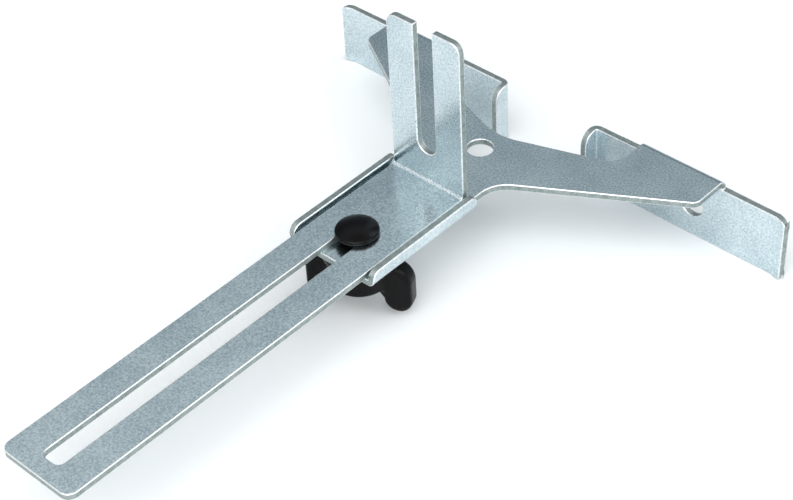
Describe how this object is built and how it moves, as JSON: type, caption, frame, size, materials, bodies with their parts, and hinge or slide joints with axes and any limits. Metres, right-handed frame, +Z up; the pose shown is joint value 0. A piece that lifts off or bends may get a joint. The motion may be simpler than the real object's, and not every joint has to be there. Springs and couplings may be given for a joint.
{
  "type": "router edge guide",
  "caption": "Adjustable edge guide for a small router: slotted angle plate with a fork, sliding in a forked fence plate and locked by a bolt and a wing nut.",
  "frame": {"origin": "centre of the pivot hole, on the top face of the fence plate", "axes": "+X along the fence, +Y towards the workpiece, square to the fence's working face, +Z up, out of the plate's top face"},
  "size_m": [0.1626, 0.1913, 0.0747],
  "materials": {
    "zinc_plate": "bright zinc plating on sheet steel",
    "black_bolt": "gloss black coating",
    "black_plastic": "gloss black moulded plastic",
    "insert_brass": "turned brass"
  },
  "bodies": {
    "fence": {"fence_plate": "zinc_plate", "clamp_bolt": "black_bolt"},
    "guide": {"guide_plate": "zinc_plate"},
    "nut": {"wing_nut": "black_plastic", "thread_insert": "insert_brass"}
  },
  "joints": [
    {"name": "guide_slide", "type": "slide", "parent": "fence", "child": "guide", "axis": [0, 1, 0], "range_m": [0, 0.1]},
    {"name": "wing_turn", "type": "hinge", "parent": "fence", "child": "nut", "pos_m": [0, -0.0494, -0.002], "axis": [0, 0, -1], "range_deg": [0, 360]}
  ]
}
